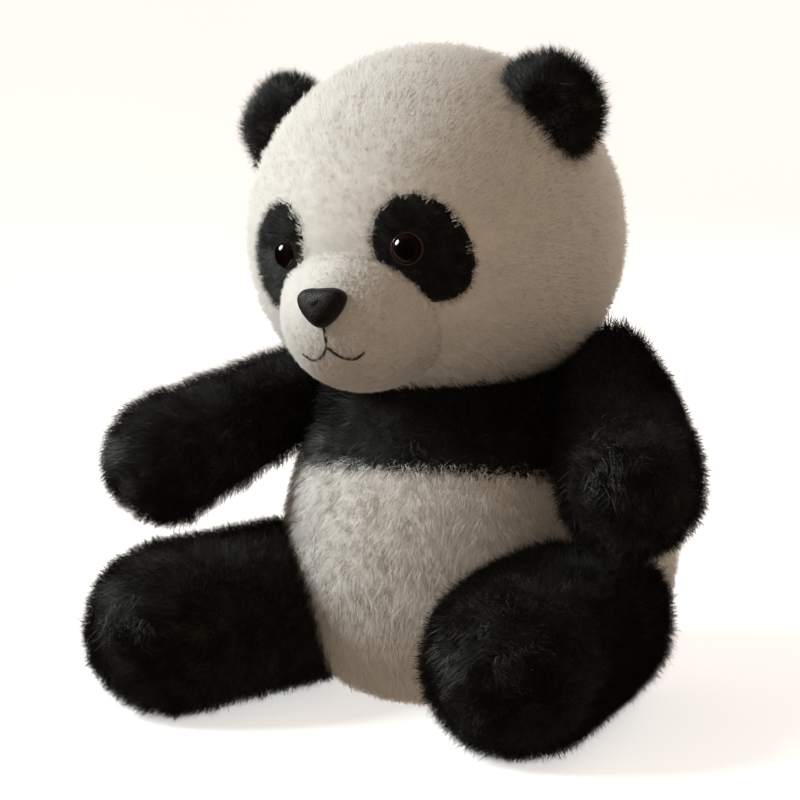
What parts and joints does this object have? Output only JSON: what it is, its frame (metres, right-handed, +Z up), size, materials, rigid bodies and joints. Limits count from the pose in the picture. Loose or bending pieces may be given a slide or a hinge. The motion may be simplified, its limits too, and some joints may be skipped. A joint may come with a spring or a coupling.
{
  "type": "plush panda",
  "caption": "Seated plush panda with short white and long black pile, safety eyes, and disc joints at neck, shoulders and hips.",
  "frame": {"origin": "centre of the flat seat, on the surface it sits on", "axes": "+Z up along the torso, -Y the way the face looks, +X the animal's left side"},
  "size_m": [0.272, 0.226, 0.265],
  "materials": {
    "white_plush": "matte",
    "black_plush": "matte",
    "muzzle_plush": "matte",
    "filling": "matte",
    "pellets": "matte",
    "joint_plastic": "matte",
    "eye_plastic": "gloss",
    "nose_plastic": "satin",
    "thread": "satin"
  },
  "bodies": {
    "torso": {"torso_lower_skin": "white_plush", "torso_upper_skin": "black_plush", "torso_stuffing": "filling", "pellet_bag": "pellets", "neck_washer": "joint_plastic", "shoulder_left_washer": "joint_plastic", "shoulder_right_washer": "joint_plastic", "hip_left_washer": "joint_plastic", "hip_right_washer": "joint_plastic"},
    "head": {"head_skin": "white_plush", "head_stuffing": "filling", "muzzle_skin": "muzzle_plush", "muzzle_stuffing": "filling", "nose": "nose_plastic", "nose_washer": "joint_plastic", "mouth_embroidery": "thread", "neck_disc": "joint_plastic", "neck_lock": "joint_plastic", "eye_patch_left": "black_plush", "eye_left": "eye_plastic", "eye_washer_left": "joint_plastic", "ear_skin_left": "black_plush", "ear_padding_left": "filling", "eye_patch_right": "black_plush", "eye_right": "eye_plastic", "eye_washer_right": "joint_plastic", "ear_skin_right": "black_plush", "ear_padding_right": "filling"},
    "arm_left": {"arm_skin_left": "black_plush", "arm_stuffing_left": "filling", "shoulder_left_disc": "joint_plastic", "shoulder_left_lock": "joint_plastic"},
    "leg_left": {"leg_skin_left": "black_plush", "leg_stuffing_left": "filling", "hip_left_disc": "joint_plastic", "hip_left_lock": "joint_plastic"},
    "arm_right": {"arm_skin_right": "black_plush", "arm_stuffing_right": "filling", "shoulder_right_disc": "joint_plastic", "shoulder_right_lock": "joint_plastic"},
    "leg_right": {"leg_skin_right": "black_plush", "leg_stuffing_right": "filling", "hip_right_disc": "joint_plastic", "hip_right_lock": "joint_plastic"}
  },
  "joints": [
    {"name": "neck_turn", "type": "hinge", "parent": "torso", "child": "head", "pos_m": [0, -0.028, 0.131], "axis": [0, 0, 1], "range_deg": [-45, 45]},
    {"name": "shoulder_left_swing", "type": "hinge", "parent": "torso", "child": "arm_left", "pos_m": [0.06041, 0, 0.12056], "axis": [-0.766, 0, -0.6428], "range_deg": [-70, 8]},
    {"name": "hip_left_swing", "type": "hinge", "parent": "torso", "child": "leg_left", "pos_m": [0.06744, -0.0438, 0.03445], "axis": [-0.8101, 0.5261, 0.2588], "range_deg": [-35, 5]},
    {"name": "shoulder_right_swing", "type": "hinge", "parent": "torso", "child": "arm_right", "pos_m": [-0.06041, 0, 0.12056], "axis": [-0.766, 0, 0.6428], "range_deg": [-70, 8]},
    {"name": "hip_right_swing", "type": "hinge", "parent": "torso", "child": "leg_right", "pos_m": [-0.06744, -0.0438, 0.03445], "axis": [-0.8101, -0.5261, -0.2588], "range_deg": [-35, 5]}
  ]
}
